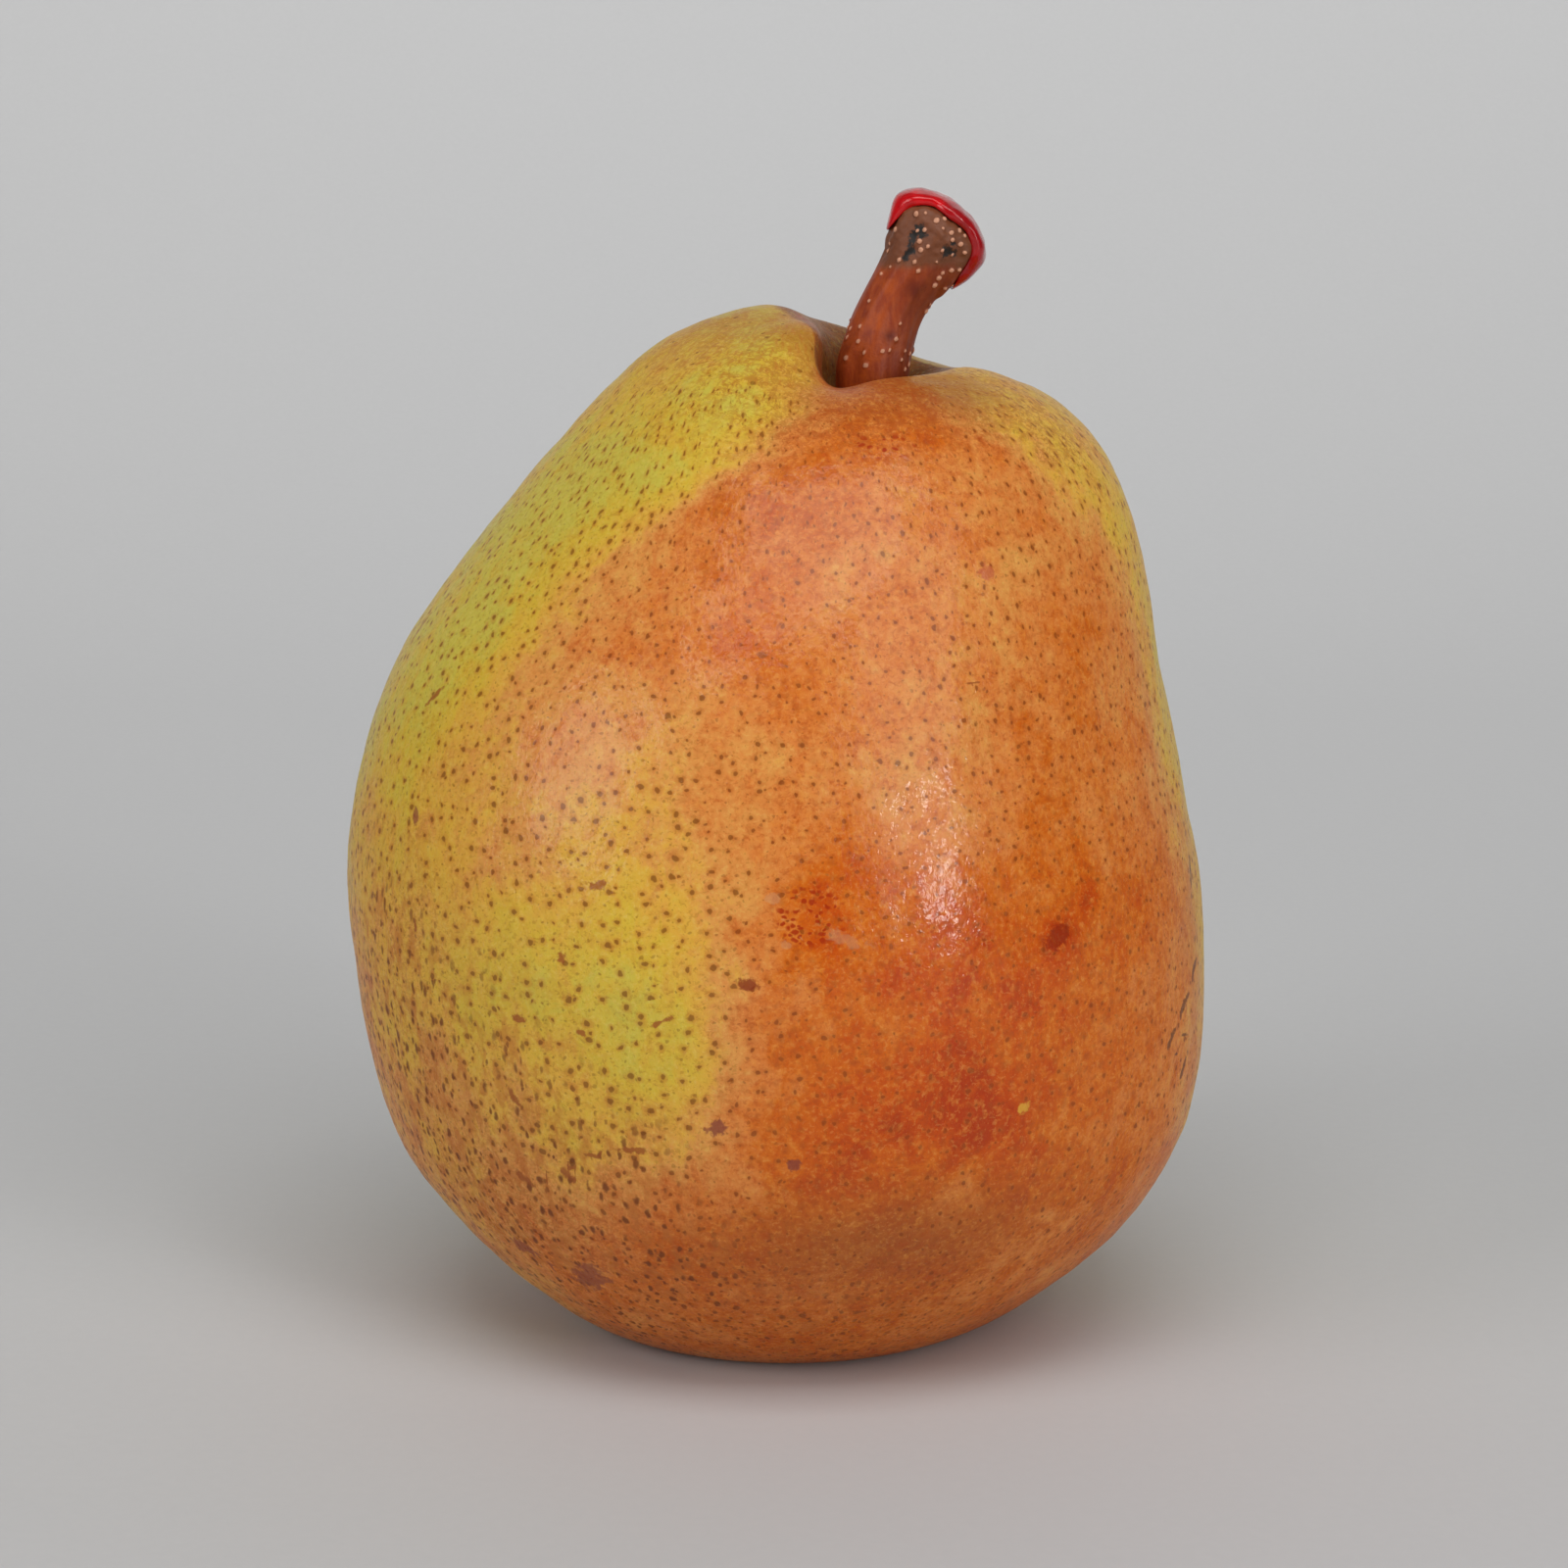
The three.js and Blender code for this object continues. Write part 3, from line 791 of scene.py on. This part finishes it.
def make_skin():
    skin = smooth_copy("fruit", "skin", 2)
    points, normals = points_of(skin), normals_of(skin)
    dimples = sum(depth * soft_noise(points, size, seed) for size, depth, seed in DIMPLES) - SKIN_SUNK
    above_table = ease(points[:, 2], 0.5, 6)
    move_points(skin, points + normals * (dimples * above_table)[:, None])
    seeker = seeker_of(skin.data)
    for name, mask in zone_masks(points, normals, seeker).items():
        store(skin, name, mask)
    store_marks(skin, points, seeker)
    skin.data.materials.append(skin_material())
    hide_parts("fruit")
    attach(skin, "root")


# ---------------------------------------------------------------- the stem
# The stem's middle: height and x in mm.
STEM_LINE = [(79.8, 8.5), (85, 8.7), (90, 9.05), (94, 10.4), (96.6, 11.9), (99.1, 13.4), (101, 14.6)]

# Warts strewn over the stem's front: from one height in mm to another, and how many.
FRONT_WARTS = [(88.8, 91.4, 10), (91.4, 97.4, 10), (97.4, 104.2, 28)]
BACK_WARTS = 55
WART_RADII = (0.16, 0.34)
WART_SPACING = 0.6  # least distance between two warts at the front, in mm
WART_SEED = 11
WART_FILL = 0.82  # how much of its radius a wart takes up
# Black crusts and dark stains: x and height in mm, reach, and strength.
CRUSTS = [
    (12.5, 101.4, 0.7, 1.0), (11.8, 101.0, 0.7, 0.9), (11.4, 99.8, 0.6, 0.9), (11.0, 99.0, 0.5, 0.6),
    (15.5, 99.2, 0.8, 0.8), (16.1, 100.0, 0.6, 0.6), (16.6, 98.9, 0.7, 0.6),
]
STAINS = [
    (10.4, 91.9, 0.55, 1.0), (12.6, 95.8, 0.9, 0.8), (13.3, 95.6, 0.6, 0.6), (12.8, 94.2, 0.9, 0.35),
]
# Ridges that run up the stem: depth in mm, how many, and their twist and start in radians.
RIDGES = [(0.05, 7, 0.5, 0), (0.04, 12, -0.3, 1)]
STEM_FLARE = ((7, -1.5, 88.5), 2.6, 0.45)  # the foot's bulge: place, reach and height in mm
WART_HEIGHT, CRUST_DEPTH = 0.17, 0.16
WAX_GAP = 0.3  # the wood swells out under the wax by this much, to meet it
IN_FRONT = -4  # a y in front of the stem, in mm


def wax_distance(points):
    """How far each point is from the wax cap, in mm."""
    seeker = seeker_of(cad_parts["stem_wax"].data)
    return np.array([seeker.find_nearest(Vector(p) * MM)[3] for p in points]) / MM


def strewn(points, count, spacing, chance):
    """So many of the points, taken by chance, none nearer to another than the spacing."""
    taken = []
    for index in chance.permutation(len(points)):
        if len(taken) == count:
            break
        if all(np.linalg.norm(points[index] - other) > spacing for other in taken):
            taken.append(points[index])
    return taken


def wart_mask(points, normals, to_wax):
    """1 in the middle of each wart, and 0 from its rim outward."""
    chance = np.random.default_rng(WART_SEED)
    height = points[:, 2]
    behind = points[(points[:, 1] > -1.2) & (height > 88) & (height < 102)]
    warts = [
        (behind[chance.integers(len(behind))], chance.uniform(*WART_RADII)) for _ in range(BACK_WARTS)
    ]
    front = (normals[:, 1] < -0.35) & (to_wax > 0.5)
    for low, high, count in FRONT_WARTS:
        band = points[front & (height > low) & (height < high)]
        warts += [(p, chance.uniform(*WART_RADII)) for p in strewn(band, count, WART_SPACING, chance)]
    mask = np.zeros(len(points))
    for place, radius in warts:
        away = np.linalg.norm(points - place, axis=1) / (radius * WART_FILL)
        mask = np.maximum(mask, np.clip(1 - away**2, 0, 1))
    return mask


def patch_mask(points, seeker, patches):
    """The strongest of the patches at each point."""
    mask = np.zeros(len(points))
    for x, height, reach, strength in patches:
        centre = np.array(seeker.find_nearest(Vector((x, IN_FRONT, height)) * MM)[0]) / MM
        mask = np.maximum(mask, strength * bell(points, centre, reach))
    return mask


def stem_relief(stem):
    """Ridges, warts and crusts on the stem, as geometry, and masks for its material."""
    points, normals = points_of(stem), normals_of(stem)
    seeker = seeker_of(stem.data)
    height = points[:, 2]
    from_middle = points[:, 0] - np.interp(height, *zip(*STEM_LINE))
    turn = np.arctan2(points[:, 1], from_middle)
    to_wax = wax_distance(points)
    wart = wart_mask(points, normals, to_wax)
    crust = patch_mask(points, seeker, CRUSTS)
    crust += 0.35 * crust * soft_noise(points, 0.9, 5)
    place, reach, bulge = STEM_FLARE
    lift = np.zeros(len(points))
    for depth, count, twist, start in RIDGES:
        lift += depth * np.sin(count * turn + twist * height + start)
    lift += 0.07 * soft_noise(points, 3.2, 3)
    lift += bulge * bell(points, place, reach)
    lift += WART_HEIGHT * np.sqrt(wart) - CRUST_DEPTH * np.clip(crust, 0, 1)
    lift += WAX_GAP * (1 - ease(to_wax, 0.45, 1.3))
    lift += 0.04 * soft_noise(points, 0.8, 8) * ease(height, 97, 100)
    move_points(stem, points + normals * lift[:, None])
    store(stem, "wart", wart)
    store(stem, "crust", crust)
    store(stem, "stain", patch_mask(points, seeker, STAINS))
    store(stem, "knob", ease(height, 96.5, 99.5))
    store(stem, "shaded", ease(from_middle, -1.0, 3.4))


def bark_material():
    n = Nodes("bark")
    place = n.coordinates()
    fibre = n.noise(stretched(n, place, 5.0), 0.55, 4, 0.6)
    cloud = n.noise(place, 2.2, 4, 0.6)
    colour = n.mix(n.ramp(fibre, 0.35, 0.7), rgb(148, 56, 20), rgb(172, 76, 28))
    colour = n.mix(n.ramp(cloud, 0.46, 0.68, 0, 0.7), colour, rgb(182, 80, 14))
    colour = n.mix(n.math("MULTIPLY", n.attribute("shaded"), 0.55), colour, rgb(104, 44, 22))
    knob = n.ramp(n.math("ADD", n.attribute("knob"), n.math("SUBTRACT", cloud, 0.5)), 0.25, 0.8)
    colour = n.mix(n.math("MULTIPLY", knob, 0.85), colour, rgb(112, 68, 42))
    colour = n.mix(n.math("MULTIPLY", n.attribute("stain"), 0.85), colour, rgb(92, 26, 8))
    grain = n.noise(place, 0.3, 3, 0.6)
    crust = n.ramp(n.math("ADD", n.attribute("crust"), n.math("SUBTRACT", grain, 0.5)), 0.3, 0.6)
    colour = n.mix(crust, colour, rgb(36, 30, 27))
    wart = n.ramp(n.attribute("wart"), 0.05, 0.45)
    colour = n.mix(n.math("MULTIPLY", wart, 0.9), colour, rgb(218, 158, 126))
    n.link(colour, n.shader.inputs["Base Color"])
    n.link(n.bump(grain, 0.06, 0.7), n.shader.inputs["Normal"])
    n.shader.inputs["Roughness"].default_value = 0.5
    n.shader.inputs["Specular IOR Level"].default_value = 0.35
    return n.material


def make_stem():
    stem = smooth_copy("stem", "stem_bark", 3)
    stem_relief(stem)
    stem.data.materials.append(bark_material())
    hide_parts("stem")
    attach(stem, "root")


def wax_material():
    n = Nodes("red_wax")
    place = n.coordinates()
    cloud = n.noise(place, 2.0, 3, 0.5)
    thin = n.ramp(n.attribute("thin"), 0.2, 0.9)
    colour = n.mix(n.ramp(cloud, 0.35, 0.65), rgb(176, 2, 10), rgb(214, 6, 18))
    colour = n.mix(n.math("MULTIPLY", thin, 0.6), colour, rgb(140, 16, 22))
    n.link(colour, n.shader.inputs["Base Color"])
    n.link(n.bump(n.noise(place, 1.3, 2, 0.5), 0.12, 0.6), n.shader.inputs["Normal"])
    n.shader.inputs["Roughness"].default_value = 0.22
    n.shader.inputs["Specular IOR Level"].default_value = 0.3
    n.shader.inputs["Coat Weight"].default_value = 0.35
    n.shader.inputs["Coat Roughness"].default_value = 0.06
    n.shader.inputs["Subsurface Weight"].default_value = 0.15
    n.shader.inputs["Subsurface Radius"].default_value = (1.0, 0.1, 0.1)
    n.shader.inputs["Subsurface Scale"].default_value = 0.8 * MM
    return n.material


# The wax is thin near its lower right edge: below a height that rises by so much a mm from this x on.
THIN_WAX_X, THIN_WAX_RISE = 9.5, 0.9
THIN_WAX_HEIGHTS = (96.5, 100.5)  # at that x, thin below the first of these and full above the second


def make_wax():
    """The dipped wax seal over the stem's end, with a soft uneven surface and edge."""
    wax = smooth_copy("stem_wax", "wax_cap", 3)
    points, normals = points_of(wax), normals_of(wax)
    lift = 0.07 * soft_noise(points, 3.4, 21) + 0.03 * soft_noise(points, 1.5, 22)
    move_points(wax, points + normals * (lift - 0.05)[:, None])
    levelled = points[:, 2] - THIN_WAX_RISE * (points[:, 0] - THIN_WAX_X)
    store(wax, "thin", 1 - ease(levelled, *THIN_WAX_HEIGHTS))
    wax.data.materials.append(wax_material())
    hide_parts("stem_wax")
    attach(wax, "root")


# ---------------------------------------------------------------- the dried flower under the pear
def dry_material(name, dark, light):
    """Dry plant fibre, from the dark colour to the light one."""
    n = Nodes(name)
    place = n.coordinates()
    fibre = n.noise(stretched(n, place, 3.0), 0.35, 4, 0.65)
    n.link(n.mix(n.ramp(fibre, 0.3, 0.72), dark, light), n.shader.inputs["Base Color"])
    n.link(n.bump(fibre, 0.08, 0.8), n.shader.inputs["Normal"])
    n.shader.inputs["Roughness"].default_value = 0.78
    n.shader.inputs["Specular IOR Level"].default_value = 0.25
    return n.material


SEPALS = 5


def make_dried_flower():
    """The five dried sepals, each with creases of its own, and the tuft of stamens."""
    leaf = dry_material("dry_leaf", rgb(46, 32, 22), rgb(124, 92, 60))
    for number in range(1, SEPALS + 1):
        sepal = smooth_copy(f"sepal_{number}", f"sepal_leaf_{number}", 3)
        points, normals = points_of(sepal), normals_of(sepal)
        creases = 0.10 * soft_noise(points, 2.4, 30 + number)
        creases += 0.04 * soft_noise(points, 0.8, 40 + number)
        move_points(sepal, points + normals * creases[:, None])
        sepal.data.materials.append(leaf)
        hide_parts(f"sepal_{number}")
        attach(sepal, "root")
    tuft = smooth_copy("dried_stamens", "stamens", 2)
    tuft.data.materials.append(dry_material("dry_stamen", rgb(34, 24, 17), rgb(98, 70, 44)))
    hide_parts("dried_stamens")
    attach(tuft, "root")


make_skin()
make_stem()
make_wax()
make_dried_flower()


# ---------------------------------------------------------------- the studio
def make_floor():
    """A floor that sweeps up behind the pear into a backdrop, in one curved sheet."""
    front, back, rise, radius, half = -0.9, 0.75, 1.1, 0.45, 1.4
    bend_steps = 16
    section = [(front, 0.0), (back - radius, 0.0)]
    for step in range(1, bend_steps + 1):
        angle = math.pi / 2 * step / bend_steps
        section.append((back - radius + radius * math.sin(angle), radius - radius * math.cos(angle)))
    section.append((back, rise))
    mesh = bpy.data.meshes.new("floor")
    vertices = [(x, y, z) for y, z in section for x in (-half, half)]
    faces = [(2 * i, 2 * i + 1, 2 * i + 3, 2 * i + 2) for i in range(len(section) - 1)]
    mesh.from_pydata(vertices, [], faces)
    for polygon in mesh.polygons:
        polygon.use_smooth = True
    floor = bpy.data.objects.new("floor", mesh)
    bpy.context.scene.collection.objects.link(floor)
    n = Nodes("paper")
    grain = n.noise(n.coordinates(), 1.2, 3, 0.6)
    n.link(n.mix(grain, rgb(201, 201, 201), rgb(205, 205, 205)), n.shader.inputs["Base Color"])
    n.shader.inputs["Roughness"].default_value = 0.8
    mesh.materials.append(n.material)


# Soft boxes: name, place in m, the point it faces in m, width and height in m, power in W.
SOFT_BOXES = [
    ("left_box", (-0.54, -0.37, 0.32), (0, 0, 0.05), 0.34, 0.34, 1.32),
    ("right_box", (0.42, -0.52, 0.42), (0, 0, 0.05), 0.34, 0.60, 1.5),
    ("right_glint", (0.46, -0.49, 0.145), (0, 0, 0.05), 0.08, 0.10, 0.62),
    ("front_top", (0, -0.44, 0.83), (0, 0, 0.05), 0.70, 0.40, 3.35),
    ("backdrop_light", (0, 0.22, 0.80), (0, 0.75, 0.62), 1.40, 0.30, 4.9),
]
AMBIENT = 0.095


def make_light(name, place, aim, width, height, power):
    data = bpy.data.lights.new(name, "AREA")
    data.shape = "RECTANGLE"
    data.size = width
    data.size_y = height
    data.energy = power
    light = bpy.data.objects.new(name, data)
    light.location = place
    light.rotation_euler = (Vector(aim) - Vector(place)).to_track_quat("-Z", "Y").to_euler()
    bpy.context.scene.collection.objects.link(light)


def make_camera():
    """The camera looks down on the pear by 12 degrees, square on to its front."""
    data = bpy.data.cameras.new("camera")
    data.lens = 90
    data.sensor_width = 36
    data.clip_start = 0.01
    camera = bpy.data.objects.new("camera", data)
    target = Vector((0.65, 0, 50)) * MM
    down = math.radians(12)
    distance = 365 * MM
    camera.location = target + Vector((0, -math.cos(down), math.sin(down))) * distance
    camera.rotation_euler = (math.radians(90) - down, 0, 0)
    bpy.context.scene.collection.objects.link(camera)
    bpy.context.scene.camera = camera


def make_studio():
    make_floor()
    for box in SOFT_BOXES:
        make_light(*box)
    world = bpy.data.worlds.new("world")
    world.use_nodes = True
    background = world.node_tree.nodes["Background"]
    background.inputs["Color"].default_value = (1, 1, 1, 1)
    background.inputs["Strength"].default_value = AMBIENT
    bpy.context.scene.world = world
    bpy.context.scene.view_settings.view_transform = "Standard"


make_studio()
make_camera()
